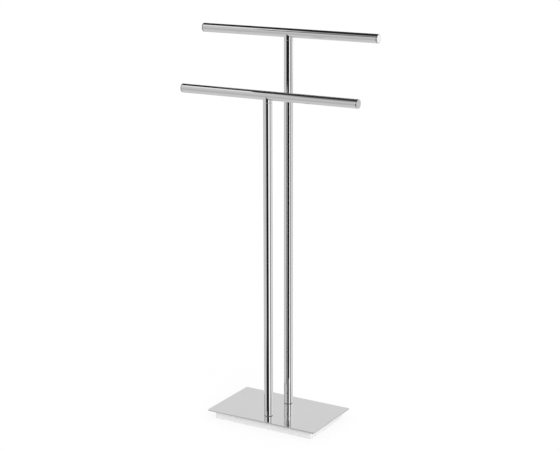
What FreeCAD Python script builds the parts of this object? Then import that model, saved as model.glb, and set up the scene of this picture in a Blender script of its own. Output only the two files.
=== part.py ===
import FreeCAD, Part
import math
import os

# Freestanding towel stand, in millimetres.
#
# Two T-shaped uprights stand one behind the other on a weighted base: a tall one at the back
# and a short one in front. The origin is the centre of the base on the floor. +X runs along
# the bars, +Y goes to the back and +Z goes up.

# ---------------------------------------------------------------- driving dimensions

# Overall sizes
rear_height = 850.0
front_height = 730.0
bar_length = 420.0
stem_spacing = 85.0

# Base plate: thin and polished, with sharp corners
plate_length = 264.0
plate_width = 162.0
plate_thickness = 3.0
plate_corner_radius = 1.5
plate_edge_break = 0.4

# Ballast block under the plate, smaller than the plate on every side
ballast_inset = 12.0
ballast_thickness = 18.0
ballast_corner_radius = 2.5
ballast_edge_break = 0.6
ballast_web = 5.0

# Rubber pads, glued in shallow pockets under the ballast
pad_diameter = 22.0
pad_pocket_depth = 1.5
pad_stand_off = 1.0
pad_edge_distance = 20.0
pad_edge_break = 0.4

# Tubes
stem_diameter = 19.0
stem_wall = 1.2
bar_diameter = 19.0
bar_wall = 1.2
tube_edge_break = 0.25

# Foot of each stem
gasket_thickness = 0.8
gasket_inset = 0.3
plug_length = 30.0
thread_lead_in = 0.8

# Base bolt, M8, with its two washers
base_bolt_diameter = 8.0
base_bolt_head_diameter = 13.0
base_bolt_head_height = 8.0
base_bolt_socket_width = 6.0
base_bolt_socket_depth = 4.0
base_bolt_engagement = 20.0
base_washer_diameter = 16.0
base_washer_thickness = 1.6
base_spring_washer_diameter = 14.8
base_spring_washer_thickness = 2.0

# Saddle collar between stem and bar
collar_height = 5.0
collar_horn_relief = 2.0
spigot_length = 24.0
spigot_lead_in = 0.8

# Bar bolt, M6, with its spring washer and the slug that it screws into
bar_bolt_diameter = 6.0
bar_bolt_head_diameter = 10.0
bar_bolt_head_height = 6.0
bar_bolt_socket_width = 5.0
bar_bolt_socket_depth = 3.0
bar_bolt_engagement = 11.0
bar_bolt_head_recess = 1.0
bar_spring_washer_diameter = 11.0
bar_spring_washer_thickness = 1.6
nut_block_length = 20.0

# Grub screw, M4, at the back of each collar's spigot
grub_diameter = 4.0
grub_length = 5.0
grub_socket_width = 2.0
grub_socket_depth = 2.0
grub_recess = 0.3
grub_drop = 9.0

# End caps of the bars and the rubber rings that hold them
cap_thickness = 2.2
cap_rim_radius = 0.8
cap_spigot_length = 10.0
ring_cord_diameter = 1.6
ring_distance = 5.0

# All bolts
bolt_tip_break = 0.6
bolt_head_break = 0.5
washer_slit = 1.2

# Clearances
thread_clearance = 0.05
bolt_hole_clearance = 0.25
counterbore_clearance = 0.5
washer_bore_clearance = 0.15
plug_clearance = 0.05
spigot_clearance = 0.05
saddle_clearance = 0.05
nut_block_clearance = 0.05
cap_spigot_clearance = 0.10
ring_clearance = 0.02
ring_groove_play = 0.3
pad_pocket_clearance = 0.3

# ---------------------------------------------------------------- worked-out places

stem_radius = stem_diameter / 2
stem_bore_radius = stem_radius - stem_wall
bar_radius = bar_diameter / 2
bar_bore_radius = bar_radius - bar_wall

ballast_bottom = pad_stand_off
ballast_top = ballast_bottom + ballast_thickness
plate_top = ballast_top + plate_thickness
stem_bottom = plate_top + gasket_thickness
counterbore_top = ballast_top - ballast_web

ballast_length = plate_length - 2 * ballast_inset
ballast_width = plate_width - 2 * ballast_inset

front_y = -stem_spacing / 2
rear_y = stem_spacing / 2
stem_places = (front_y, rear_y)

base_bolt_radius = base_bolt_diameter / 2
bar_bolt_radius = bar_bolt_diameter / 2
grub_radius = grub_diameter / 2
base_bolt_hole_radius = base_bolt_radius + bolt_hole_clearance
bar_bolt_hole_radius = bar_bolt_radius + bolt_hole_clearance
spigot_radius = stem_bore_radius - spigot_clearance

# ---------------------------------------------------------------- shape helpers

UP = FreeCAD.Vector(0, 0, 1)
ALONG_BAR = FreeCAD.Vector(1, 0, 0)
TO_BACK = FreeCAD.Vector(0, 1, 0)
HEX_SIDES = 6
TINY = 1e-4


def rod(radius, length, start, direction=UP):
    """A round rod of the given length from a start point."""
    return Part.makeCylinder(radius, length, FreeCAD.Vector(*start), direction)


def across(direction):
    """A direction square to the given one, for directions along the three axes."""
    return ALONG_BAR if abs(direction.dot(ALONG_BAR)) < TINY else UP


def turned(profile, start, direction=UP):
    """A lathe-turned solid: (radius, height) points revolved round an axis through start."""
    base = FreeCAD.Vector(*start)
    side = across(direction)
    points = [base + side * radius + direction * height for radius, height in profile]
    face = Part.Face(Part.makePolygon(points + points[:1]))
    return face.revolve(base, direction, 360)


def hex_socket(width, depth, start, direction=UP):
    """The hexagonal recess for a key: a prism, measured across its flats."""
    base = FreeCAD.Vector(*start)
    corner_radius = width / 2 / math.cos(math.pi / HEX_SIDES)
    first = across(direction) * corner_radius
    second = direction.cross(first)
    corners = []
    for side in range(HEX_SIDES + 1):
        angle = 2 * math.pi * side / HEX_SIDES
        corners.append(base + first * math.cos(angle) + second * math.sin(angle))
    return Part.Face(Part.makePolygon(corners)).extrude(direction * depth)


def block(length, width, low, high, corner_radius):
    """A block centred on the Z axis, with rounded upright corners."""
    corner = FreeCAD.Vector(-length / 2, -width / 2, low)
    box = Part.makeBox(length, width, high - low, corner)
    upright_edges = [edge for edge in box.Edges if edge.BoundBox.ZLength > TINY]
    return box.makeFillet(corner_radius, upright_edges)


def edges_in_plane(shape, direction, distance):
    """The edges of a shape that lie in the plane square to a direction, at a distance along it."""
    found = []
    for edge in shape.Edges:
        places = [edge.CenterOfMass] + [vertex.Point for vertex in edge.Vertexes]
        if all(abs(place.dot(direction) - distance) < TINY for place in places):
            found.append(edge)
    return found


def socket_bolt(radius, head_radius, head_height, socket_width, socket_depth, shank, start):
    """A socket-head bolt that points up, from the underside of its head at height 0."""
    profile = (
        (0, -head_height),
        (head_radius - bolt_head_break, -head_height),
        (head_radius, -head_height + bolt_head_break),
        (head_radius, 0),
        (radius, 0),
        (radius, shank - bolt_tip_break),
        (radius - bolt_tip_break, shank),
        (0, shank),
    )
    bolt = turned(profile, start)
    x, y, z = start
    return bolt.cut(hex_socket(socket_width, socket_depth, (x, y, z - head_height)))


def washer(outer_radius, bore_radius, thickness, start):
    """A flat washer."""
    return rod(outer_radius, thickness, start).cut(rod(bore_radius, thickness, start))


def spring_washer(outer_radius, bore_radius, thickness, start):
    """A flat-lying split washer, with its slit on the +X side."""
    x, y, z = start
    ring = washer(outer_radius, bore_radius, thickness, start)
    corner = FreeCAD.Vector(x, y - washer_slit / 2, z)
    return ring.cut(Part.makeBox(outer_radius + washer_slit, washer_slit, thickness, corner))


def save(node, shape):
    """Write one sub-part, and say how many solids and how much material it holds."""
    clean = shape.removeSplitter()
    clean.exportStep("parts/" + node + ".step")
    print(node, "solids", len(clean.Solids), "volume", round(clean.Volume, 1), "valid", clean.isValid())


# ---------------------------------------------------------------- base


def base_plate():
    """The polished plate, with its top edge broken and a hole for each base bolt."""
    plate = block(plate_length, plate_width, ballast_top, plate_top, plate_corner_radius)
    plate = plate.makeChamfer(plate_edge_break, edges_in_plane(plate, UP, plate_top))
    for y in stem_places:
        plate = plate.cut(rod(base_bolt_hole_radius, plate_thickness, (0, y, ballast_top)))
    return plate


def pad_places():
    """Name and centre of each pad, near the ballast's corners."""
    x = ballast_length / 2 - pad_edge_distance
    y = ballast_width / 2 - pad_edge_distance
    return {
        "pad_front_left": (-x, -y),
        "pad_front_right": (x, -y),
        "pad_rear_left": (-x, y),
        "pad_rear_right": (x, y),
    }


def ballast_block():
    """The weight: counterbored from below for the base bolts, with a pocket for each pad."""
    ballast = block(ballast_length, ballast_width, ballast_bottom, ballast_top, ballast_corner_radius)
    ballast = ballast.makeChamfer(ballast_edge_break, edges_in_plane(ballast, UP, ballast_bottom))
    counterbore_radius = base_washer_diameter / 2 + counterbore_clearance
    counterbore_depth = counterbore_top - ballast_bottom
    for y in stem_places:
        ballast = ballast.cut(rod(base_bolt_hole_radius, ballast_thickness, (0, y, ballast_bottom)))
        ballast = ballast.cut(rod(counterbore_radius, counterbore_depth, (0, y, ballast_bottom)))
    pocket_radius = pad_diameter / 2 + pad_pocket_clearance
    for x, y in pad_places().values():
        ballast = ballast.cut(rod(pocket_radius, pad_pocket_depth, (x, y, ballast_bottom)))
    return ballast


def pad(x, y):
    """A round rubber pad from the floor up to the roof of its pocket."""
    radius = pad_diameter / 2
    top = pad_stand_off + pad_pocket_depth
    profile = (
        (0, 0),
        (radius - pad_edge_break, 0),
        (radius, pad_edge_break),
        (radius, top),
        (0, top),
    )
    return turned(profile, (x, y, 0))


# ---------------------------------------------------------------- foot of a stem


def foot_gasket(y):
    """The thin washer between the stem's foot and the plate."""
    return washer(stem_radius - gasket_inset, base_bolt_hole_radius, gasket_thickness, (0, y, plate_top))


def foot_plug(y):
    """The tapped plug fixed in the stem's lower end, flush with it."""
    outer = stem_bore_radius - plug_clearance
    thread = base_bolt_radius + thread_clearance
    profile = (
        (thread + thread_lead_in, 0),
        (outer, 0),
        (outer, plug_length - thread_lead_in),
        (outer - thread_lead_in, plug_length),
        (thread, plug_length),
        (thread, thread_lead_in),
    )
    return turned(profile, (0, y, stem_bottom))


def base_bolt_seat():
    """Height of the underside of the base bolt's head."""
    return counterbore_top - base_washer_thickness - base_spring_washer_thickness


def base_bolt(y):
    """The bolt that pulls plug, plate and ballast together."""
    shank = stem_bottom + base_bolt_engagement - base_bolt_seat()
    return socket_bolt(
        base_bolt_radius,
        base_bolt_head_diameter / 2,
        base_bolt_head_height,
        base_bolt_socket_width,
        base_bolt_socket_depth,
        shank,
        (0, y, base_bolt_seat()),
    )


def base_washer(y):
    """The flat washer against the counterbore's roof."""
    bore = base_bolt_radius + washer_bore_clearance
    start = (0, y, counterbore_top - base_washer_thickness)
    return washer(base_washer_diameter / 2, bore, base_washer_thickness, start)


def base_spring_washer(y):
    """The split washer on the base bolt's head."""
    bore = base_bolt_radius + washer_bore_clearance
    start = (0, y, base_bolt_seat())
    return spring_washer(base_spring_washer_diameter / 2, bore, base_spring_washer_thickness, start)


# ---------------------------------------------------------------- stem and collar


def bar_axis(height):
    """Height of a bar's centre line, for a T of the given overall height."""
    return height - bar_radius


def seam(height):
    """Height of the joint between a stem and its collar."""
    return bar_axis(height) - bar_radius - collar_height


def grub_height(height):
    """Height of a grub screw's centre line."""
    return seam(height) - grub_drop


def stem(y, height):
    """The upright tube, with a hole at the back for the grub screw's end."""
    length = seam(height) - stem_bottom
    profile = (
        (stem_bore_radius, 0),
        (stem_radius - tube_edge_break, 0),
        (stem_radius, tube_edge_break),
        (stem_radius, length - tube_edge_break),
        (stem_radius - tube_edge_break, length),
        (stem_bore_radius, length),
    )
    tube = turned(profile, (0, y, stem_bottom))
    hole = rod(grub_radius + thread_clearance, stem_diameter, (0, y, grub_height(height)), TO_BACK)
    return tube.cut(hole)


def bar_bolt_seat(height):
    """Height of the underside of the bar bolt's head, up inside the collar's spigot."""
    spigot_bottom = seam(height) - spigot_length
    return spigot_bottom + bar_bolt_head_recess + bar_bolt_head_height


def collar(y, height):
    """The saddle collar: a spigot in the stem, a short round body, and a seat for the bar."""
    body_top = bar_axis(height) - collar_horn_relief
    body = body_top - seam(height)
    profile = (
        (0, -spigot_length),
        (spigot_radius - spigot_lead_in, -spigot_length),
        (spigot_radius, -spigot_length + spigot_lead_in),
        (spigot_radius, 0),
        (stem_radius - tube_edge_break, 0),
        (stem_radius, tube_edge_break),
        (stem_radius, body),
        (0, body),
    )
    piece = turned(profile, (0, y, seam(height)))
    seat = rod(bar_radius + saddle_clearance, bar_length, (-bar_length / 2, y, bar_axis(height)), ALONG_BAR)
    spigot_bottom = (0, y, seam(height) - spigot_length)
    bolt_hole = rod(bar_bolt_hole_radius, spigot_length + body, spigot_bottom)
    head_radius = bar_spring_washer_diameter / 2 + bolt_hole_clearance
    head_room = bar_bolt_seat(height) + bar_spring_washer_thickness - spigot_bottom[2]
    counterbore = rod(head_radius, head_room, spigot_bottom)
    thread = rod(grub_radius + thread_clearance, stem_radius, (0, y, grub_height(height)), TO_BACK)
    return piece.cut([seat, bolt_hole, counterbore, thread])


def collar_grub_screw(y, height):
    """The grub screw, its outer end just below the tube's surface."""
    outer_end = stem_radius - grub_recess
    inner_end = outer_end - grub_length
    z = grub_height(height)
    screw = rod(grub_radius, grub_length, (0, y + inner_end, z), TO_BACK)
    socket_start = (0, y + outer_end - grub_socket_depth, z)
    return screw.cut(hex_socket(grub_socket_width, grub_socket_depth, socket_start, TO_BACK))


# ---------------------------------------------------------------- bar


def bar_bolt(y, height):
    """The bolt from the collar up into the bar's slug."""
    tip = bar_axis(height) - bar_bore_radius + bar_bolt_engagement
    return socket_bolt(
        bar_bolt_radius,
        bar_bolt_head_diameter / 2,
        bar_bolt_head_height,
        bar_bolt_socket_width,
        bar_bolt_socket_depth,
        tip - bar_bolt_seat(height),
        (0, y, bar_bolt_seat(height)),
    )


def bar_spring_washer(y, height):
    """The split washer on the bar bolt's head."""
    bore = bar_bolt_radius + washer_bore_clearance
    start = (0, y, bar_bolt_seat(height))
    return spring_washer(bar_spring_washer_diameter / 2, bore, bar_spring_washer_thickness, start)


def nut_block(y, height):
    """The tapped slug inside the bar, over the collar."""
    radius = bar_bore_radius - nut_block_clearance
    z = bar_axis(height)
    slug = rod(radius, nut_block_length, (-nut_block_length / 2, y, z), ALONG_BAR)
    return slug.cut(rod(bar_bolt_radius + thread_clearance, bar_diameter, (0, y, z - bar_radius)))


def bar(y, height):
    """The cross tube, with a hole in its underside for the bar bolt."""
    length = bar_length - 2 * cap_thickness
    profile = (
        (bar_bore_radius, 0),
        (bar_radius - tube_edge_break, 0),
        (bar_radius, tube_edge_break),
        (bar_radius, length - tube_edge_break),
        (bar_radius - tube_edge_break, length),
        (bar_bore_radius, length),
    )
    tube = turned(profile, (-length / 2, y, bar_axis(height)), ALONG_BAR)
    return tube.cut(rod(bar_bolt_hole_radius, bar_radius, (0, y, bar_axis(height) - bar_radius)))


def cap_seat(side, height, y):
    """The centre of the bar tube's end on one side, where the cap's head seats."""
    return (side * (bar_length / 2 - cap_thickness), y, bar_axis(height))


def bar_cap(side, y, height):
    """An end cap: a head flush with the tube and a grooved spigot inside it."""
    spigot = bar_bore_radius - cap_spigot_clearance
    groove = bar_bore_radius - ring_cord_diameter - ring_clearance
    half_groove = (ring_cord_diameter + ring_groove_play) / 2
    profile = (
        (0, -cap_spigot_length),
        (spigot - tube_edge_break, -cap_spigot_length),
        (spigot, -cap_spigot_length + tube_edge_break),
        (spigot, -ring_distance - half_groove),
        (groove, -ring_distance - half_groove),
        (groove, -ring_distance + half_groove),
        (spigot, -ring_distance + half_groove),
        (spigot, 0),
        (bar_radius - tube_edge_break, 0),
        (bar_radius, tube_edge_break),
        (bar_radius, cap_thickness),
        (0, cap_thickness),
    )
    outward = side * ALONG_BAR
    cap = turned(profile, cap_seat(side, height, y), outward)
    return cap.makeFillet(cap_rim_radius, edges_in_plane(cap, outward, bar_length / 2))


def cap_ring(side, y, height):
    """The rubber ring in a cap's groove."""
    cord_radius = ring_cord_diameter / 2
    x, y, z = cap_seat(side, height, y)
    centre = FreeCAD.Vector(x - side * ring_distance, y, z)
    return Part.makeTorus(bar_bore_radius - ring_clearance - cord_radius, cord_radius, centre, ALONG_BAR)


# ---------------------------------------------------------------- the whole stand

LEFT = -1
RIGHT = 1


def upright(name, y, height):
    """All pieces of one T, by node name."""
    return {
        name + "_foot_gasket": foot_gasket(y),
        name + "_foot_plug": foot_plug(y),
        name + "_base_bolt": base_bolt(y),
        name + "_base_washer": base_washer(y),
        name + "_base_spring_washer": base_spring_washer(y),
        name + "_stem": stem(y, height),
        name + "_bar_collar": collar(y, height),
        name + "_collar_grub_screw": collar_grub_screw(y, height),
        name + "_bar_bolt": bar_bolt(y, height),
        name + "_bar_spring_washer": bar_spring_washer(y, height),
        name + "_bar_nut_block": nut_block(y, height),
        name + "_bar": bar(y, height),
        name + "_bar_cap_left": bar_cap(LEFT, y, height),
        name + "_bar_cap_right": bar_cap(RIGHT, y, height),
        name + "_bar_ring_left": cap_ring(LEFT, y, height),
        name + "_bar_ring_right": cap_ring(RIGHT, y, height),
    }


pieces = {"base_plate": base_plate(), "ballast_block": ballast_block()}
for pad_name, (pad_x, pad_y) in pad_places().items():
    pieces[pad_name] = pad(pad_x, pad_y)
pieces.update(upright("front", front_y, front_height))
pieces.update(upright("rear", rear_y, rear_height))

os.makedirs("parts", exist_ok=True)
for node, shape in pieces.items():
    save(node, shape)
print("pieces", len(pieces))
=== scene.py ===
# %% [markdown]
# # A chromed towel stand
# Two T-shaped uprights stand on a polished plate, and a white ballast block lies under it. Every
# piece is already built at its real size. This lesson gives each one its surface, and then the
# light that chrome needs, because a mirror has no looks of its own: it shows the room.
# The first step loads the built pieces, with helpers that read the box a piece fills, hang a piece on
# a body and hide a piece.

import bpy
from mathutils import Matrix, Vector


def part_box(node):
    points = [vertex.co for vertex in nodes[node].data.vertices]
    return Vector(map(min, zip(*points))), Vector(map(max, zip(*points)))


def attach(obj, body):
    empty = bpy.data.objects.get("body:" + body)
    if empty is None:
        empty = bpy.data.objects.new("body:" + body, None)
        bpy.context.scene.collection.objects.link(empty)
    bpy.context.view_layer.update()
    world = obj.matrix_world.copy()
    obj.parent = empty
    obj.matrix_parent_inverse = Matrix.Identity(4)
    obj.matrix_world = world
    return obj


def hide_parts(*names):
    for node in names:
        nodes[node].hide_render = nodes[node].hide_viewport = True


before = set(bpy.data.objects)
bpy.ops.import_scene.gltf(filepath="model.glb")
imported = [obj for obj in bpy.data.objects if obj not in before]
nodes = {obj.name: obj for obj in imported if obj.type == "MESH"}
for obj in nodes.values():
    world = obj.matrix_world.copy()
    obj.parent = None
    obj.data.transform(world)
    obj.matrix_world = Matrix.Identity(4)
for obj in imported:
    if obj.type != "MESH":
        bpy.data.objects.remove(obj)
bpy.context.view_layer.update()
print("pieces", len(nodes))

# %% [markdown]
# ## Modules and units
# Blender and the built pieces count in metres. The small sizes of a stand are easier to read in
# millimetres, so they are written that way here and multiplied by the unit where they are used.

# %% Modules and units
from math import asin, cos, degrees, pi, radians, sin, sqrt

import bmesh
import bpy
from mathutils import Matrix, Vector

MM = 0.001
MICRON = 0.000001

# %% [markdown]
# ## Shader maths as expressions
# A finish is a small formula: a base value, plus a share of some noise, and so on. Wiring such
# formulas node by node hides what they say. A wrapper round an output socket, with the usual
# operators, lets the formula be read as it is meant, and it still ends as plain nodes.


# %% A socket that can be added and multiplied
class Signal:
    """An output socket of a node. Arithmetic on it adds Math nodes to the same graph."""

    def __init__(self, graph, socket):
        self.graph = graph
        self.socket = socket

    def out(self, name):
        """Another output of the same node."""
        return Signal(self.graph, self.socket.node.outputs[name])

    def math(self, operation, *others):
        """This value as the first input of a Math node, and the others after it."""
        return self.graph.node("Math", {"operation": operation}, dict(enumerate((self, *others))))

    def __add__(self, other):
        return self.math("ADD", other)

    def __radd__(self, other):
        return self.math("ADD", other)

    def __sub__(self, other):
        return self.math("SUBTRACT", other)

    def __rsub__(self, other):
        return self.graph.node("Math", {"operation": "SUBTRACT"}, {0: other, 1: self})

    def __mul__(self, other):
        return self.math("MULTIPLY", other)

    def __rmul__(self, other):
        return self.math("MULTIPLY", other)


# %% [markdown]
# ## One way to make any node
# Everything that isn't plain arithmetic comes from one method. It takes the node's type, then its
# settings, then what goes into its sockets. Settings come first, because some of them change
# which sockets a node has.


# %% A graph of nodes
class Graph:
    """The node tree of a material or of the world, emptied and ready to be written."""

    def __init__(self, owner):
        owner.use_nodes = True
        self.tree = owner.node_tree
        self.tree.nodes.clear()

    def node(self, kind, settings=None, sockets=None, output=0):
        """Add a node of a type and give back one of its outputs as a Signal."""
        made = self.tree.nodes.new("ShaderNode" + kind)
        for name, value in (settings or {}).items():
            setattr(made, name, value)
        for name, value in (sockets or {}).items():
            if isinstance(value, Signal):
                self.tree.links.new(value.socket, made.inputs[name])
            else:
                made.inputs[name].default_value = value
        return Signal(self, made.outputs[output]) if made.outputs else made

    def place(self):
        """Where the surface point is, in metres. Every piece shares the stand's own axes."""
        return self.node("TexCoord", output="Object")

    def stretched(self, vector, factors):
        """A vector with each of its parts multiplied."""
        return self.node("VectorMath", {"operation": "MULTIPLY"}, {0: vector, 1: factors})

    def noise(self, vector, scale, detail=2.0):
        """Smooth noise from about 0.3 to 0.7, with a number of blots per metre."""
        return self.node("TexNoise", {}, {"Vector": vector, "Scale": scale, "Detail": detail})

    def ramp(self, value, start, end, low=0.0, high=1.0):
        """A smooth step from low to high as the value goes from start to end."""
        sockets = {"Value": value, "From Min": start, "From Max": end, "To Min": low, "To Max": high}
        return self.node("MapRange", {"interpolation_type": "SMOOTHSTEP"}, sockets)

    def bump(self, height, depth):
        """A normal from a height between 0 and 1, which stands for a depth in metres."""
        return self.node("Bump", {}, {"Height": height, "Distance": depth})

    def mix_colour(self, factor, first, second):
        """A colour between two colours."""
        settings = {"data_type": "RGBA"}
        return self.node("Mix", settings, {0: factor, 6: first, 7: second}, output=2)


# %% [markdown]
# ## Starting and closing a material
# Each finish is a function that adds its own nodes and names the sockets of the shader that they
# feed. What is the same all over a surface is set on the shader's own sockets. Most pieces come
# in pairs, one in front and one behind, and a finish goes on all of them at once.

# %% Start and close a material
def grey(level):
    """A neutral colour."""
    return (level, level, level, 1.0)


def surface(name, build, **constants):
    """A material with one Principled shader. The build function returns its varying sockets."""
    material = bpy.data.materials.new(name)
    graph = Graph(material)
    sockets = {key.replace("_", " "): value for key, value in constants.items()}
    sockets.update(build(graph))
    shader = graph.node("BsdfPrincipled", {}, sockets)
    graph.node("OutputMaterial", {}, {"Surface": shader})
    return material


def paint(material, *names):
    """Give a material to whole pieces."""
    for name in names:
        piece = shown[name]
        if not piece.material_slots:
            piece.data.materials.append(material)
        for slot in piece.material_slots:
            slot.material = material
    print(material.name, "on", len(names), "pieces")


def both(*names):
    """The same piece of the front and of the rear upright."""
    return [side + "_" + name for name in names for side in ("front", "rear")]


# %% [markdown]
# ## Profiles with soft corners
# The tubes, collars and caps are all round about a centre line, so each of them is a profile: a
# few corners, given as a place along the line and a radius. On the real pieces no corner is
# sharp, and chrome shows that, because a rounded rim gathers a whole band of the room into a
# fine line. So each corner also has a softness, the distance over which it is rounded off, and a
# short curve takes its place. A bevel modifier could do that too, but here the rounding shrinks
# by itself where there is no room for it, as along the thin horns of a saddle.

# %% Round off the corners of a profile
SOFT_STEPS = 5


def softened(corners):
    """Points of a profile from its corners (along, radius, softness), all in millimetres."""
    points = []
    for index, (along, radius, soft) in enumerate(corners):
        corner = Vector((along, radius))
        before = Vector(corners[index - 1][:2]) - corner
        after = Vector(corners[(index + 1) % len(corners)][:2]) - corner
        if soft == 0:
            points.append(corner)
            continue
        start = corner + before.normalized() * min(soft, before.length / 2)
        end = corner + after.normalized() * min(soft, after.length / 2)
        for step in range(SOFT_STEPS + 1):
            share = step / SOFT_STEPS
            points.append(start.lerp(corner, share).lerp(corner.lerp(end, share), share))
    return points


print("points on a soft corner", SOFT_STEPS + 1)


# %% [markdown]
# ## Turning a profile
# Blender can spin a profile with the Screw modifier. Here the mesh is written column by column,
# because then the profile may be another one at each angle, as the saddle of a collar needs. The
# new mesh stands for a built piece, so its ends and its radius are read from that piece, and it
# rides on the same body. Weighted normals keep a long tube's shading true up to its rounded rim.

# %% Turn a profile round a centre line
ROUND = 96
SHARP = radians(32)
SAME_POINT = 0.1 * MICRON
TOWARDS = {
    "up": Matrix.Identity(4),
    "right": Matrix.Rotation(radians(90), 4, "Y"),
    "left": Matrix.Rotation(radians(-90), 4, "Y"),
    "back": Matrix.Rotation(radians(-90), 4, "X"),
}
shown = dict(nodes)


def middle(name):
    """The middle of a built piece."""
    low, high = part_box(name)
    return (low + high) / 2


def length_of(name, axis):
    """How long a built piece is along X (0), Y (1) or Z (2), in millimetres."""
    low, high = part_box(name)
    return (high[axis] - low[axis]) / MM


def turned(name, start, towards, profile, hollow=False):
    """Turn a profile, or a function from an angle to one, in place of a built piece."""
    place = Matrix.Translation(start) @ TOWARDS[towards] @ Matrix.Scale(MM, 4)
    points = []
    for facet in range(ROUND):
        angle = 2 * pi * facet / ROUND
        column = softened(profile(angle) if callable(profile) else profile)
        for along, radius in column:
            points.append(place @ Vector((radius * cos(angle), radius * sin(angle), along)))
    rings = len(column)
    faces = []
    for facet in range(ROUND):
        here = facet * rings
        there = (facet + 1) % ROUND * rings
        for ring in range(rings if hollow else rings - 1):
            after = (ring + 1) % rings
            faces.append((here + ring, there + ring, there + after, here + after))
    mesh = bpy.data.meshes.new(name + "_turned")
    mesh.from_pydata(points, [], faces)
    work = bmesh.new()
    work.from_mesh(mesh)
    bmesh.ops.remove_doubles(work, verts=work.verts, dist=SAME_POINT)
    bmesh.ops.recalc_face_normals(work, faces=work.faces)
    work.to_mesh(mesh)
    work.free()
    piece = bpy.data.objects.new(name + "_turned", mesh)
    bpy.context.scene.collection.objects.link(piece)
    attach(piece, "root")
    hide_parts(name)
    shown[name] = piece


def smoothed(*names):
    """Shade smooth up to the sharp edges, with normals that the large faces lead."""
    for name in names:
        shown[name].data.shade_smooth()
        shown[name].data.set_sharp_from_angle(angle=SHARP)
        shown[name].modifiers.new("weighted_normals", "WEIGHTED_NORMAL").keep_sharp = True
    faces = sum(len(shown[name].data.polygons) for name in names)
    print("turned", len(names), "pieces,", faces, "faces")


# %% [markdown]
# ## Drilled holes
# A set screw reaches its collar through a hole in the back of each upright, and a bolt enters
# each bar from below. On a lathe's profile such a cross hole has no place, so it is cut
# afterwards, as in the workshop, with a Boolean modifier that is applied at once. The cut may
# leave points a hair apart, and these are welded, so that the piece stays one closed skin.

# %% Drill across a turned piece
WELD = 2 * MICRON
DRILL_FACETS = 48
# How far a drill reaches beyond the outside of a tube, in millimetres.
RUN_OUT = 1.0


def drill(name, start, towards, radius, depth):
    """Cut a round hole into a piece, from a start point, in one direction, in millimetres."""
    work = bmesh.new()
    place = Matrix.Translation(start) @ TOWARDS[towards] @ Matrix.Scale(MM, 4)
    sizes = {"radius1": radius, "radius2": radius, "depth": depth}
    shift = Matrix.Translation((0, 0, depth / 2))
    bmesh.ops.create_cone(work, cap_ends=True, segments=DRILL_FACETS, matrix=place @ shift, **sizes)
    tool_mesh = bpy.data.meshes.new("drill")
    work.to_mesh(tool_mesh)
    work.free()
    tool = bpy.data.objects.new("drill", tool_mesh)
    bpy.context.scene.collection.objects.link(tool)
    piece = shown[name]
    cut = piece.modifiers.new("hole", "BOOLEAN")
    cut.object = tool
    drilled = piece.evaluated_get(bpy.context.evaluated_depsgraph_get())
    mesh = bpy.data.meshes.new_from_object(drilled)
    work = bmesh.new()
    work.from_mesh(mesh)
    bmesh.ops.remove_doubles(work, verts=work.verts, dist=WELD)
    bmesh.ops.dissolve_degenerate(work, edges=work.edges, dist=WELD)
    work.to_mesh(mesh)
    work.free()
    piece.modifiers.clear()
    piece.data = mesh
    bpy.data.objects.remove(tool)
    print("drilled", name, "with a radius of", radius, "mm")


# %% [markdown]
# ## Tubes
# The uprights and the bars are drawn steel tube, 19 mm across with a wall of 1.2 mm. Their rims
# are rounded before plating, which leaves a fine groove where a tube meets its collar or a cap.
# In the picture that groove is the dark ring just under each bar. The hole at the back of an
# upright lies level with the built set screw.
# The dark of that groove is partly its real shade and partly painted shade, a near-black material on
# its deepest faces.

# %% Tubes of the uprights and the bars
TUBE_WALL = 1.2
STEM_RIM = 0.5
BAR_RIM = 1.4
INNER_RIM = 0.2
SCREW_HOLE = 2.05
BOLT_HOLE = 3.25


def tube_profile(length, radius, rim):
    """A tube with rounded rims."""
    inner = radius - TUBE_WALL
    return [(0, radius, rim), (length, radius, rim), (length, inner, INNER_RIM), (0, inner, INNER_RIM)]


def screw_level(side):
    """The point on an upright's centre line that is level with its set screw."""
    screw = middle(side + "_collar_grub_screw")
    stem = middle(side + "_stem")
    return Vector((stem.x, stem.y, screw.z))


seams = {}
for side in ("front", "rear"):
    name = side + "_stem"
    low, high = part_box(name)
    centre = middle(name)
    radius = length_of(name, 0) / 2
    foot = Vector((centre.x, centre.y, low.z))
    profile = tube_profile(length_of(name, 2), radius, STEM_RIM)
    turned(name, foot, "up", profile, hollow=True)
    drill(name, screw_level(side), "back", SCREW_HOLE, radius + RUN_OUT)
    seams[side] = Vector((centre.x, centre.y, high.z))
for name in both("bar"):
    centre = middle(name)
    radius = length_of(name, 2) / 2
    end = Vector((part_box(name)[0].x, centre.y, centre.z))
    profile = tube_profile(length_of(name, 0), radius, BAR_RIM)
    turned(name, end, "right", profile, hollow=True)
    below = centre - Vector((0, 0, radius + RUN_OUT)) * MM
    drill(name, below, "up", BOLT_HOLE, radius)
smoothed(*both("stem", "bar"))

# %% [markdown]
# ## Collars
# A collar joins an upright to its bar. Its spigot goes down into the tube, its shoulder sits on
# the tube's end, and its top is a saddle that the bar lies in. The saddle is part of a cylinder
# along the bar, so at each angle round the collar its height follows from how far that point
# lies in front of or behind the bar's centre line.

# %% Collars with a saddle
SPIGOT_RADIUS = 8.25
SPIGOT_LEAD_IN = 0.8
SPIGOT_EDGE = 0.2
BOLT_POCKET_RADIUS = 5.75
BOLT_POCKET_DEPTH = 8.6
SEAT_CLEARANCE = 0.05
SADDLE_EDGE_DROP = 2.0
SADDLE_RIM = 0.9
SADDLE_LIP = 0.45
SADDLE_STEPS = 10

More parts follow.
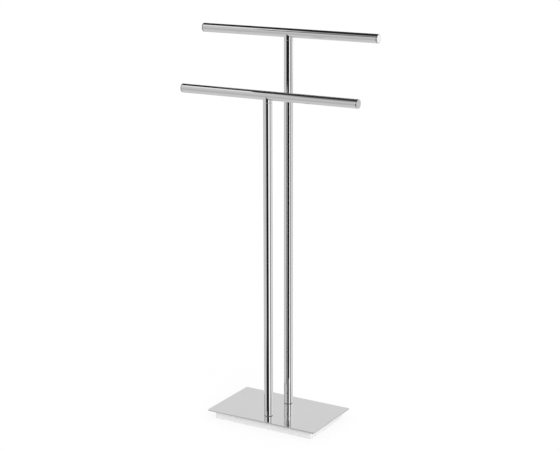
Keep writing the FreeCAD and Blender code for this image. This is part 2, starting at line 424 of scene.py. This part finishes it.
for side, seam in seams.items():
    name = side + "_bar_collar"
    spigot_end = (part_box(name)[0].z - seam.z) / MM
    bar_height = (middle(side + "_bar").z - seam.z) / MM
    radius = length_of(side + "_stem", 0) / 2
    seat_radius = length_of(side + "_bar", 2) / 2 + SEAT_CLEARANCE
    steepest = asin((radius - SADDLE_RIM) / seat_radius)
    flattest = asin(BOLT_HOLE / seat_radius)

    def collar_profile(angle):
        """The collar's profile at an angle from the right hand side."""

        def saddle(reach):
            """Height of the saddle at a distance from the collar's centre line."""
            across = reach * sin(angle)
            return bar_height - max(sqrt(seat_radius ** 2 - across ** 2), SADDLE_EDGE_DROP)

        corners = [
            (spigot_end, BOLT_POCKET_RADIUS, SPIGOT_EDGE),
            (spigot_end, SPIGOT_RADIUS - SPIGOT_LEAD_IN, SPIGOT_EDGE),
            (spigot_end + SPIGOT_LEAD_IN, SPIGOT_RADIUS, SPIGOT_EDGE),
            (0, SPIGOT_RADIUS, 0),
            (0, radius, STEM_RIM),
            (saddle(radius), radius, SADDLE_LIP),
        ]
        for step in range(SADDLE_STEPS + 1):
            slope = steepest + (flattest - steepest) * step / SADDLE_STEPS
            reach = seat_radius * sin(slope)
            corners.append((saddle(reach), reach, 0))
        pocket_top = spigot_end + BOLT_POCKET_DEPTH
        return corners + [(pocket_top, BOLT_HOLE, 0), (pocket_top, BOLT_POCKET_RADIUS, 0)]

    turned(name, seam, "up", collar_profile, hollow=True)
    drill(name, screw_level(side), "back", SCREW_HOLE, radius + RUN_OUT)
smoothed(*both("bar_collar"))

# %% [markdown]
# ## Caps
# Each bar is closed by two turned caps. A cap has a spigot with a groove for a rubber ring, which
# grips the tube, and a flat head whose outer edge is well rounded, so that it catches the light.
# Behind the head is a short neck, a little smaller than the tube. It hides how well the cut end
# of the tube was trimmed, and it is what the picture shows as a dark arc beside each cap. The
# lengths are those of the built cap, measured from the end of its bar.
# That arc is partly the neck's real shade and partly painted shade, a near-black material on the faces
# deep in the groove.

# %% Caps with rounded heads
CAP_EDGE = 1.3
CAP_NECK = 0.6
CAP_NECK_RADIUS = 8.5
CAP_LIP = 0.3
CAP_SPIGOT_RADIUS = 8.2
CAP_LEAD_IN = 0.25
RING_PLAY = 0.15
GROOVE_RADIUS = 6.68
GROOVE_EDGE = 0.1
GROOVE_CORNER = 0.2


def reach_from(seat, towards, name):
    """How far a piece reaches inwards (below 0) and outwards from a seat, in millimetres."""
    sign = {"left": -1, "right": 1}[towards]
    return sorted(sign * (corner.x - seat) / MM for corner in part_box(name))


for name in both("bar_cap_left", "bar_cap_right"):
    towards = name.split("_")[-1]
    bar = name.split("_")[0] + "_bar"
    bar_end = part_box(bar)[1 if towards == "right" else 0].x
    inner, head = reach_from(bar_end, towards, name)
    ring_inner, ring_outer = reach_from(bar_end, towards, name.replace("cap", "ring"))
    groove = (ring_inner - RING_PLAY, ring_outer + RING_PLAY)
    seat = Vector((bar_end, middle(name).y, middle(name).z))
    radius = length_of(name, 2) / 2
    cap_profile = [
        (inner, 0, 0),
        (inner, CAP_SPIGOT_RADIUS - CAP_LEAD_IN, 0),
        (inner + CAP_LEAD_IN, CAP_SPIGOT_RADIUS, 0),
        (groove[0], CAP_SPIGOT_RADIUS, GROOVE_EDGE),
        (groove[0], GROOVE_RADIUS, GROOVE_CORNER),
        (groove[1], GROOVE_RADIUS, GROOVE_CORNER),
        (groove[1], CAP_SPIGOT_RADIUS, GROOVE_EDGE),
        (0, CAP_SPIGOT_RADIUS, 0),
        (0, CAP_NECK_RADIUS, 0),
        (CAP_NECK, CAP_NECK_RADIUS, 0),
        (CAP_NECK, radius, CAP_LIP),
        (head, radius, CAP_EDGE),
        (head, 0, 0),
    ]
    turned(name, seat, towards, cap_profile)
print("cap head", round(head, 2), "mm thick, ring groove", [round(edge, 2) for edge in groove])
smoothed(*both("bar_cap_left", "bar_cap_right"))

# %% [markdown]
# ## Chromed tube
# Bright chrome on drawn steel tube. From a step away it is a mirror. Close up, it keeps faint
# lines along the tube from the drawing die and the polishing wheel, and the hand that unpacked
# it left a little haze. The lines are noise stretched far along the tube, used as a bump of a
# few microns. A deeper bump would break the long straight reflections that make it chrome.
# In the picture the tall upright shows no front bar, so that bar is kept out of reflections.

# %% Chrome for the tubes
CHROME_GREY = 0.86
CHROME_ROUGHNESS = 0.03
HAZE_ROUGHNESS = 0.02
HAZE_TINT = 0.02
HAZE_BLOTS = 28.0
HAZE_LIMITS = (0.45, 0.75)
DIE_LINES_ACROSS = 900.0
DIE_LINE_STRETCH = 0.0015
DIE_LINE_DEPTH = 2 * MICRON
DIE_LINE_ROUGHNESS = 0.01


def hazy_chrome(graph, lines, line_roughness, line_depth):
    """The varying sockets of chrome with fine lines and a few patches of haze."""
    haze = graph.ramp(graph.noise(graph.place(), HAZE_BLOTS, 4.0), *HAZE_LIMITS)
    return {
        "Base Color": graph.mix_colour(haze, grey(CHROME_GREY), grey(CHROME_GREY - HAZE_TINT)),
        "Roughness": CHROME_ROUGHNESS + HAZE_ROUGHNESS * haze + line_roughness * lines,
        "Normal": graph.bump(lines, line_depth),
    }


def tube_chrome(name, along):
    """Chrome with drawing lines along X (0) or Z (2)."""

    def build(graph):
        factors = [1.0, 1.0, 1.0]
        factors[along] = DIE_LINE_STRETCH
        lines = graph.noise(graph.stretched(graph.place(), factors), DIE_LINES_ACROSS, 1.0)
        return hazy_chrome(graph, lines, DIE_LINE_ROUGHNESS, DIE_LINE_DEPTH)

    return surface(name, build, Metallic=1.0)


paint(tube_chrome("chrome_upright_tube", 2), *both("stem"))
paint(tube_chrome("chrome_cross_tube", 0), *both("bar"))
for name in ("front_bar", "front_bar_cap_left", "front_bar_cap_right"):
    shown[name].visible_glossy = False

# %% [markdown]
# ## Chromed collar and caps
# These are turned from solid bar before they are plated, so their faint lines go round and not
# along. On a cap's flat face these lines hardly change, so the face shows no rings.

# %% Chrome for the turned pieces
TURNING_LINES = 2200.0
TURNING_STRETCH = 0.02
TURNING_DEPTH = 3 * MICRON
TURNING_ROUGHNESS = 0.03


def turned_chrome(name, along):
    """Chrome with fine lines round X (0) or Z (2)."""

    def build(graph):
        factors = [TURNING_STRETCH] * 3
        factors[along] = 1.0
        lines = graph.noise(graph.stretched(graph.place(), factors), TURNING_LINES, 2.0)
        return hazy_chrome(graph, lines, TURNING_ROUGHNESS, TURNING_DEPTH)

    return surface(name, build, Metallic=1.0)


paint(turned_chrome("chrome_round_z", 2), *both("bar_collar"))
paint(turned_chrome("chrome_round_x", 0), *both("bar_cap_left", "bar_cap_right"))

# %% [markdown]
# ## Painted shade in the grooves
# A narrow groove gets little light at its bottom, so it shows as a dark line. That shade is
# painted here: the faces that lie in a groove get a second material, near-black metal with a
# little dust, chosen by their distance from the centre line.

# %% Painted shade in the grooves
# Painted shade: near-black colours that stand for the shade at the bottom of each groove.
RECESS_PAINTED_SHADE = grey(0.03)
RECESS_PAINTED_SHADE_DUSTY = grey(0.07)
DUST_GRAIN = 700.0
# How far under the surface the faces with painted shade lie, and how far from the seam, in
# millimetres.
RECESS_DEPTHS = (0.22, 1.3)
RECESS_REACH = 0.9


def recess():
    """Near-black metal, a little dusty, that paints the shade at the bottom of a groove."""

    def build(graph):
        dust = graph.noise(graph.place(), DUST_GRAIN, 3.0)
        return {
            "Base Color": graph.mix_colour(dust, RECESS_PAINTED_SHADE, RECESS_PAINTED_SHADE_DUSTY),
            "Roughness": 0.45 + 0.2 * dust,
        }

    # This material is painted shade, not a finish of the metal.
    return surface("painted_recess_shade", build, Metallic=1.0)


def shaded(material, name, axis, seam):
    """Give a piece's faces in the groove at a seam along X (0) or Z (2) the painted shade, and count
    them.
    """
    piece = shown[name]
    if len(piece.data.materials) < 2:
        piece.data.materials.append(material)
    centre = middle(name)
    radius = length_of(name, 2 - axis) / 2
    shallowest, deepest = RECESS_DEPTHS
    dulled = 0
    for face in piece.data.polygons:
        offset = (face.center - centre) / MM
        offset[axis] = 0
        depth = radius - offset.length
        near = abs(face.center[axis] - seam) < RECESS_REACH * MM
        if near and shallowest < depth < deepest:
            face.material_index = 1
            dulled += 1
    return dulled


# The faces deep in each groove get the painted shade.
recess_shade_metal = recess()
shaded_groove_faces = 0
for side, seam in seams.items():
    shaded_groove_faces += shaded(recess_shade_metal, side + "_stem", 2, seam.z)
    shaded_groove_faces += shaded(recess_shade_metal, side + "_bar_collar", 2, seam.z)
    for end, place in zip(("left", "right"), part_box(side + "_bar")):
        shaded_groove_faces += shaded(recess_shade_metal, side + "_bar", 0, place.x)
        shaded_groove_faces += shaded(recess_shade_metal, side + "_bar_cap_" + end, 0, place.x)
print("dull faces in the grooves", shaded_groove_faces)

# %% [markdown]
# ## Polished plate
# The plate is flat and large, so it shows its polish best: a mirror with a thin haze over it,
# which softens what it reflects the further that is from the plate.

# %% Polish for the plate
PLATE_GREY = 0.86
PLATE_HAZE_TINT = 0.015
PLATE_HAZE_BLOTS = 14.0
PLATE_HAZE_LIMITS = (0.4, 0.75)
PLATE_ROUGHNESS = 0.05
PLATE_LINES = 3000.0
PLATE_LINE_STRETCH = 0.01
PLATE_LINE_DEPTH = 0.5 * MICRON


def plate_polish():
    """A hazy mirror with very fine lines along the plate."""

    def build(graph):
        place = graph.place()
        lines = graph.noise(graph.stretched(place, (PLATE_LINE_STRETCH, 1.0, 1.0)), PLATE_LINES, 3.0)
        haze = graph.ramp(graph.noise(place, PLATE_HAZE_BLOTS, 4.0), *PLATE_HAZE_LIMITS)
        return {
            "Base Color": graph.mix_colour(haze, grey(PLATE_GREY), grey(PLATE_GREY - PLATE_HAZE_TINT)),
            "Roughness": PLATE_ROUGHNESS + 0.04 * haze + 0.03 * lines,
            "Normal": graph.bump(lines, PLATE_LINE_DEPTH),
        }

    return surface("polished_plate_steel", build, Metallic=1.0)


paint(plate_polish(), "base_plate")

# %% [markdown]
# ## White coating
# The ballast is a steel block with a white powder coating. Powder melts into a skin with a soft
# ripple, like orange peel, about a millimetre across.

# %% Powder coating for the ballast
COATING_WHITE = grey(0.90)
COATING_SHADE = grey(0.88)
PEEL_BLOTS = 900.0
PEEL_DEPTH = 30 * MICRON
CLOUD_BLOTS = 30.0


def powder_coating():
    """White, half gloss, with orange peel."""

    def build(graph):
        place = graph.place()
        peel = graph.noise(place, PEEL_BLOTS, 1.5)
        cloud = graph.noise(place, CLOUD_BLOTS, 3.0)
        return {
            "Base Color": graph.mix_colour(graph.ramp(cloud, 0.3, 0.7), COATING_WHITE, COATING_SHADE),
            "Roughness": 0.42 + 0.08 * cloud,
            "Normal": graph.bump(peel, PEEL_DEPTH),
        }

    return surface("white_powder_coating", build)


paint(powder_coating(), "ballast_block")

# %% [markdown]
# ## Rubber
# The pads, the gaskets at the feet and the rings on the caps are black rubber. Moulded rubber has
# a fine grain, and dust clings to it in patches, which lifts its black a little.

# %% Rubber
RUBBER_BLACK = grey(0.018)
RUBBER_DUSTY = grey(0.045)
RUBBER_GRAIN = 2500.0
RUBBER_GRAIN_DEPTH = 25 * MICRON
DUST_BLOTS = 160.0


def rubber():
    """Black moulded rubber with a fine grain."""

    def build(graph):
        place = graph.place()
        grain = graph.noise(place, RUBBER_GRAIN, 3.0)
        dust = graph.ramp(graph.noise(place, DUST_BLOTS, 4.0), 0.45, 0.8)
        return {
            "Base Color": graph.mix_colour(dust, RUBBER_BLACK, RUBBER_DUSTY),
            "Roughness": 0.6 + 0.2 * grain,
            "Normal": graph.bump(grain, RUBBER_GRAIN_DEPTH),
        }

    return surface("black_rubber_grain", build)


pads = [name for name in nodes if name.startswith("pad_")]
paint(rubber(), *pads, *both("foot_gasket", "bar_ring_left", "bar_ring_right"))

# %% [markdown]
# ## Zinc plating
# Bolts, screws and washers are zinc plated against rust. Zinc grows in crystals of about a
# millimetre, each a slightly other grey, under a cloudy sheen. Voronoi cells make good crystals.

# %% Zinc plating
ZINC_DARK = (0.52, 0.53, 0.55, 1.0)
ZINC_LIGHT = (0.62, 0.62, 0.62, 1.0)
ZINC_CRYSTALS = 1100.0
ZINC_BLOTS = 400.0
ZINC_DEPTH = 6 * MICRON


def zinc_plating():
    """Zinc plated steel with cloudy crystals."""

    def build(graph):
        place = graph.place()
        cells = {"Vector": place, "Scale": ZINC_CRYSTALS}
        crystals = graph.node("TexVoronoi", {}, cells, output="Color")
        cloud = graph.noise(place, ZINC_BLOTS, 3.0)
        level = graph.node("SeparateColor", {}, {"Color": crystals})
        return {
            "Base Color": graph.mix_colour(level, ZINC_DARK, ZINC_LIGHT),
            "Roughness": 0.24 + 0.14 * cloud + 0.06 * level,
            "Normal": graph.bump(cloud, ZINC_DEPTH),
        }

    return surface("zinc_plating", build, Metallic=1.0)


bolts = both("base_bolt", "bar_bolt", "collar_grub_screw")
washers = both("base_washer", "base_spring_washer", "bar_spring_washer")
paint(zinc_plating(), *bolts, *washers)

# %% [markdown]
# ## Bare steel
# The plugs in the uprights and the slugs in the bars are never seen once the stand is built, so
# they are left as they came off the lathe, with its tool lines and a trace of oil.

# %% Bare steel
STEEL_OILY = (0.42, 0.41, 0.40, 1.0)
STEEL_DRY = (0.50, 0.49, 0.48, 1.0)
TOOL_LINES = 2500.0
TOOL_LINE_STRETCH = 0.03
TOOL_LINE_DEPTH = 8 * MICRON
OIL_BLOTS = 120.0


def bare_steel():
    """Turned steel with tool lines and a trace of oil."""

    def build(graph):
        place = graph.place()
        factors = (TOOL_LINE_STRETCH, TOOL_LINE_STRETCH, 1.0)
        lines = graph.noise(graph.stretched(place, factors), TOOL_LINES, 1.0)
        oil = graph.noise(place, OIL_BLOTS, 3.0)
        return {
            "Base Color": graph.mix_colour(oil, STEEL_OILY, STEEL_DRY),
            "Roughness": 0.26 + 0.16 * lines,
            "Normal": graph.bump(lines, TOOL_LINE_DEPTH),
        }

    return surface("bare_turned_steel", build, Metallic=1.0)


paint(bare_steel(), *both("foot_plug", "bar_nut_block"))

# %% [markdown]
# ## The camera
# The place and the angles were worked out from the stand's known sizes and from where its edges
# lie in the picture. The long lens keeps the uprights almost parallel.

# %% Set up the camera
PICTURE_WIDTH = 560
SENSOR_WIDTH = 36.0
FOCAL_LENGTH_IN_PIXELS = 1428.9
CAMERA_PLACE = Vector((1491.8, -2532.7, 1183.8)) * MM
CAMERA_YAW = radians(30.43)
CAMERA_PITCH = radians(14.24)
CAMERA_ROLL = radians(-0.06)

camera_data = bpy.data.cameras.new("camera")
camera_data.sensor_width = SENSOR_WIDTH
camera_data.lens = FOCAL_LENGTH_IN_PIXELS / PICTURE_WIDTH * SENSOR_WIDTH
camera = bpy.data.objects.new("camera", camera_data)
turn = Matrix.Rotation(CAMERA_YAW, 4, "Z")
tilt = Matrix.Rotation(pi / 2 - CAMERA_PITCH, 4, "X")
roll = Matrix.Rotation(CAMERA_ROLL, 4, "Z")
camera.matrix_world = Matrix.Translation(CAMERA_PLACE) @ turn @ tilt @ roll
bpy.context.scene.collection.objects.link(camera)
bpy.context.scene.camera = camera
print("lens", round(camera_data.lens, 2), "mm")

# %% [markdown]
# ## The floor
# A pale floor, wide enough to meet the white surroundings without an edge. Unshadowed it is
# plain white, and it takes a light shadow under the stand. Reflections look past it into the
# studio, so that the bands in the uprights run unbroken down to the plate.

# %% Lay the floor
FLOOR_HALF = 12.0
FLOOR_WHITE = 0.82
FLOOR_GLOW = 0.80


def floor_material():
    """Matt white; towards the camera, mostly a plain white that the shadow only tints."""
    material = bpy.data.materials.new("studio_floor")
    graph = Graph(material)
    matt = graph.node("BsdfDiffuse", {}, {"Color": grey(FLOOR_WHITE)})
    bright = graph.node("BsdfDiffuse", {}, {"Color": grey(1.0)})
    glow = graph.node("Emission", {}, {"Color": grey(1.0), "Strength": 1.0})
    seen = graph.node("MixShader", {}, {0: FLOOR_GLOW, 1: bright, 2: glow})
    to_camera = graph.node("LightPath", output="Is Camera Ray")
    shader = graph.node("MixShader", {}, {0: to_camera, 1: matt, 2: seen})
    graph.node("OutputMaterial", {}, {"Surface": shader})
    return material


floor_mesh = bpy.data.meshes.new("floor")
corners = [(x * FLOOR_HALF, y * FLOOR_HALF, 0.0) for x, y in ((-1, -1), (1, -1), (1, 1), (-1, 1))]
floor_mesh.from_pydata(corners, [], [(0, 1, 2, 3)])
floor = bpy.data.objects.new("floor", floor_mesh)
floor_mesh.materials.append(floor_material())
floor.visible_glossy = False
bpy.context.scene.collection.objects.link(floor)
print("floor", 2 * FLOOR_HALF, "m wide")

# %% [markdown]
# ## The studio
# Chrome needs dark things to reflect as much as bright ones. A photographer hangs black cards
# and strip lights round it. Here most of them are patches of the surroundings, given by
# direction, so that they run unbroken along each tube. Only reflections see them. The camera
# sees plain white, and the matt surfaces are lit by an even soft light.
#
# An upright tube shows what stands round it, so its cards are given by an angle sideways from
# the camera and a height above the horizon. A level bar shows what passes over it, so its cards
# are given by an angle over the top, from the front to the back, and a place along the bar.
# Seen from above, an upright reflects only what is below the horizon, and the plate only what
# is above it. So the sideways cards stop at the horizon, which leaves the plate clear, but a
# ray that has met one mirror already sees them higher, for the uprights' image in the plate.

# %% Cards of the studio
WALL = 1.0
STUDIO_LEVEL = 0.72
SOFT_LIGHT = 0.86
SIDEWAYS = "sideways and height, in degrees"
OVERHEAD = "over the top in degrees, and along the bars"
# Name, radiance, kind, first range, its softness, second range, its softness. A later card
# covers those before it.
CARDS = (
    ("left wall", 0.90, SIDEWAYS, (-150, -40), 10, (-90, 40), 8),
    ("front, low", 0.72, OVERHEAD, (-42, 6), 10, (-0.61, -0.42), 0.02),
    ("front, high", 0.84, OVERHEAD, (6, 46), 10, (-0.61, -0.42), 0.02),
    ("grey ceiling", 0.45, OVERHEAD, (42, 86), 8, (-0.495, -0.42), 0.03),
    ("ceiling strip light", 1.35, OVERHEAD, (62, 92), 8, (-0.64, -0.495), 0.03),
    ("black beam, left", 0.03, OVERHEAD, (96, 130), 6, (0.25, 0.95), 0.05),
    ("black beam, right", 0.03, OVERHEAD, (96, 130), 6, (-0.95, -0.66), 0.05),
    ("right wall", 1.18, SIDEWAYS, (70, 150), 4, (-90, 40), 8),
    ("right wall, low", 0.85, SIDEWAYS, (112, 135), 4, (-90, -8), 2),
    ("bright window behind", 1.42, SIDEWAYS, (112, 135), 4, (-8, 30), 2),
    ("black card in front", 0.02, SIDEWAYS, (-42, 14), 3, (-60, 36), 8),
    ("strip light", 1.60, SIDEWAYS, (16, 47), 3, (-60, 36), 8),
    ("grey card", 0.13, SIDEWAYS, (50, 72), 3, (-60, 36), 8),
    ("black card in front, low", 0.02, SIDEWAYS, (-52, 14), 3, (-60, -19), 2),
    ("black card in front, upper", 0.02, SIDEWAYS, (-54, 20), 3, (-8.95, 3), 0.4),
    ("strip light, upper", 1.60, SIDEWAYS, (22, 47), 3, (-8.95, 3), 0.4),
    ("grey card, upper", 0.10, SIDEWAYS, (49, 80), 3, (-8.95, 3), 0.4),
    ("black card behind, right", 0.05, SIDEWAYS, (150, 170), 4, (-40, 8), 4),
    ("black card behind, left", 0.05, SIDEWAYS, (-170, -150), 4, (-40, 8), 4),
)
HORIZON = 2.0
HORIZON_SOFTNESS = 4.0
# Between the first mirror that a ray meets and the second.
SECOND_MIRROR = 1.5


def window(graph, value, limits, soft):
    """1 between two limits and 0 outside, with soft edges."""
    low, high = limits
    rise = graph.ramp(value, low - soft / 2, low + soft / 2)
    fall = graph.ramp(value, high - soft / 2, high + soft / 2, 1.0, 0.0)
    return rise * fall


def studio(graph, bounces):
    """What a reflection sees in each direction, after a number of bounces."""
    direction = graph.node("TexCoord", output="Generated")
    x = graph.node("SeparateXYZ", {}, {"Vector": direction})
    z = x.out("Z")
    from_camera = {"Vector": direction, "Angle": -CAMERA_YAW}
    facing = graph.node("VectorRotate", {"rotation_type": "Z_AXIS"}, from_camera)
    right = graph.node("SeparateXYZ", {}, {"Vector": facing})
    sideways = right.math("ARCTAN2", -1 * right.out("Y")) * degrees(1)
    height = z.math("ARCSINE") * degrees(1)
    over = z.math("ARCTAN2", -1 * x.out("Y")) * degrees(1)
    half = HORIZON_SOFTNESS / 2
    low = graph.ramp(height, HORIZON - half, HORIZON + half, 1.0, 0.0)
    later = bounces.math("GREATER_THAN", SECOND_MIRROR)
    reach = {SIDEWAYS: low + later * (1 - low), OVERHEAD: 1.0}
    places = {SIDEWAYS: (sideways, height), OVERHEAD: (over, x)}
    light = WALL
    for _, level, kind, first, first_soft, second, second_soft in CARDS:
        one, two = places[kind]
        mask = window(graph, one, first, first_soft) * window(graph, two, second, second_soft)
        light = light + mask * reach[kind] * (level - light)
    print("cards in the studio", len(CARDS))
    return light


# %% [markdown]
# ## Cards that are really there
# Some reflections can't be had by direction alone. A black card over the bars would also lie in
# the plate, seen from halfway up. A card that really hangs there can do better, because the
# length of a ray tells how far away the mirror is that shows it. So each hung card has a least
# and a greatest distance, and beyond them it is clear. Only reflections see these cards.

# %% Hang a card
def hang(name, points, faces, level, seen_from):
    """A card of one even radiance, for mirrors between two distances. All in millimetres."""
    mesh = bpy.data.meshes.new(name)
    mesh.from_pydata([Vector(point) * MM for point in points], [], faces)
    card = bpy.data.objects.new(name, mesh)
    cloth = bpy.data.materials.new(name + "_cloth")
    graph = Graph(cloth)
    nearest, farthest = (limit * MM for limit in seen_from)
    distance = graph.node("LightPath", output="Ray Length")
    within = distance.math("GREATER_THAN", nearest) * distance.math("LESS_THAN", farthest)
    clear = graph.node("BsdfTransparent")
    glow = graph.node("Emission", {}, {"Color": grey(1.0), "Strength": level})
    shader = graph.node("MixShader", {}, {0: within, 1: clear, 2: glow})
    graph.node("OutputMaterial", {}, {"Surface": shader})
    mesh.materials.append(cloth)
    card.visible_camera = False
    card.visible_diffuse = False
    card.visible_shadow = False
    bpy.context.scene.collection.objects.link(card)
    print(name, "with", len(points), "corners, seen up to", seen_from[1], "mm away")


# %% [markdown]
# ## The canopy
# The fine black line along the top of each bar is a black canopy over the stand. Its front edge
# runs aslant, because the line thins out towards the left. Its back comes down behind the bars,
# and the last panel is tucked in towards them. The bars are nearer to each panel than the plate
# is, so each panel's greatest distance lies between the two.

# %% The canopy over the bars
CANOPY_BLACK = 0.02
# Along X: each column's place, and where its front edge lies along Y.
CANOPY_COLUMNS = ((-1450, -230), (-600, -620), (450, -620))
CANOPY_HEIGHT = 2500
CANOPY_BACK = (764, 1240)
CANOPY_TUCKED = (600, 900)
# The greatest distance of each panel, from the front edge to the tucked back edge.
CANOPY_REACH = (2200, 1650, 1400, 1000)


def canopy_column(x, front_edge):
    """The corners of the panels at one place along X, from the front to the back."""
    front = Vector((x, front_edge, CANOPY_HEIGHT))
    back = Vector((x, *CANOPY_BACK))
    roof_panels = len(CANOPY_REACH) - 1
    roof = [front.lerp(back, step / roof_panels) for step in range(roof_panels + 1)]
    return roof + [Vector((x, *CANOPY_TUCKED))]


canopy_columns = [canopy_column(*column) for column in CANOPY_COLUMNS]
for panel, reach in enumerate(CANOPY_REACH):
    corners = [corner for column in canopy_columns for corner in column[panel:panel + 2]]
    hang("canopy_" + str(panel + 1), corners, [(0, 2, 3, 1), (2, 4, 5, 3)], CANOPY_BLACK, (0, reach))

# %% [markdown]
# ## The baffle and the hood
# A dark baffle, in front of the bars and above them, draws a second, fainter line along each. A
# black hood over the right-hand ends darkens the upper half of the grooves beside the caps, whose
# rims look up and to the right.

# %% The baffle and the hood
# Name, radiance, along X, along Y, height, and the greatest distance.
LEVEL_CARDS = (
    ("baffle", 0.10, (-200, 200), (-185, -90), 990, 600),
    ("hood", 0.02, (120, 1500), (-1050, 400), 1320, 1290),
)

for name, level, (left, right), (near, far), height, reach in LEVEL_CARDS:
    corners = [(left, near, height), (right, near, height), (right, far, height), (left, far, height)]
    hang(name, corners, [(0, 1, 2, 3)], level, (0, reach))

# %% [markdown]
# ## Strips for the tall upright
# The dark streak of the tall upright is wider than that of the short one. Two narrow black
# strips, left and right of the front upright, widen it, and a low one beyond the plate's corner
# does so for its foot. Only a mirror as far away as the tall upright shows them.

# %% Strips that only the tall upright shows
STRIP_BLACK = 0.02
# Name, both ends of the foot (x, y) from the front upright's centre line, the heights, and the
# least and the greatest distance.
STRIPS = (
    ("strip_left", (-29, 0), (-17, 0), (91, 690), (75, 88)),
    ("strip_right", (55, 27), (66, 39.5), (91, 690), (68, 80)),
    ("strip_low", (179, -103.5), (214, -62.5), (-75, 60), (250, 290)),
)

front_line = Vector(middle("front_stem")[:2]) / MM
for name, start, end, (low, high), seen_from in STRIPS:
    left = front_line + Vector(start)
    right = front_line + Vector(end)
    corners = [(*left, low), (*right, low), (*right, high), (*left, high)]
    hang(name, corners, [(0, 1, 2, 3)], STRIP_BLACK, seen_from)

# %% [markdown]
# ## Lighting the world
# One background does three jobs. The camera sees plain white. A reflection sees the cards. And
# everything that is matt is lit evenly from all sides, at a level that leaves colours as written.

# %% Light the world
world = bpy.data.worlds.new("studio")
bpy.context.scene.world = world
sky = Graph(world)
path = sky.node("LightPath", output="Is Camera Ray")
glossy = path.out("Is Glossy Ray")
reflected = STUDIO_LEVEL * studio(sky, path.out("Glossy Depth"))
light = SOFT_LIGHT + glossy * (reflected - SOFT_LIGHT)
light = light + path * (1.0 - light)
background = sky.node("Background", {}, {"Color": grey(1.0), "Strength": light})
sky.node("OutputWorld", {}, {"Surface": background})
print("nodes in the sky", len(sky.tree.nodes))

# %% [markdown]
# ## A lamp
# Even light alone leaves the stand floating. A broad lamp from the front and the right lays a
# light shadow behind the plate and to its left, and sets the ballast's sides apart. The chrome
# doesn't show it.

# %% A broad lamp from the right
LAMP_FROM = Vector((0.72, -0.56, 0.42))
LAMP_STRENGTH = 1.2
LAMP_SPREAD = radians(40)

lamp_data = bpy.data.lights.new("broad_lamp", "SUN")
lamp_data.energy = LAMP_STRENGTH
lamp_data.angle = LAMP_SPREAD
lamp = bpy.data.objects.new("broad_lamp", lamp_data)
lamp.matrix_world = LAMP_FROM.to_track_quat("Z", "Y").to_matrix().to_4x4()
lamp.visible_glossy = False
bpy.context.scene.collection.objects.link(lamp)
print("lamp", LAMP_STRENGTH, "strong,", round(degrees(LAMP_SPREAD)), "degrees wide")

# %% [markdown]
# ## Colours as they are written
# Blender's usual view bends bright colours towards a film's look. A picture on plain white wants
# the standard view, which shows a colour as it is written.

# %% Colours as they are written
view = bpy.context.scene.view_settings
view.view_transform = "Standard"
print("view transform", view.view_transform)
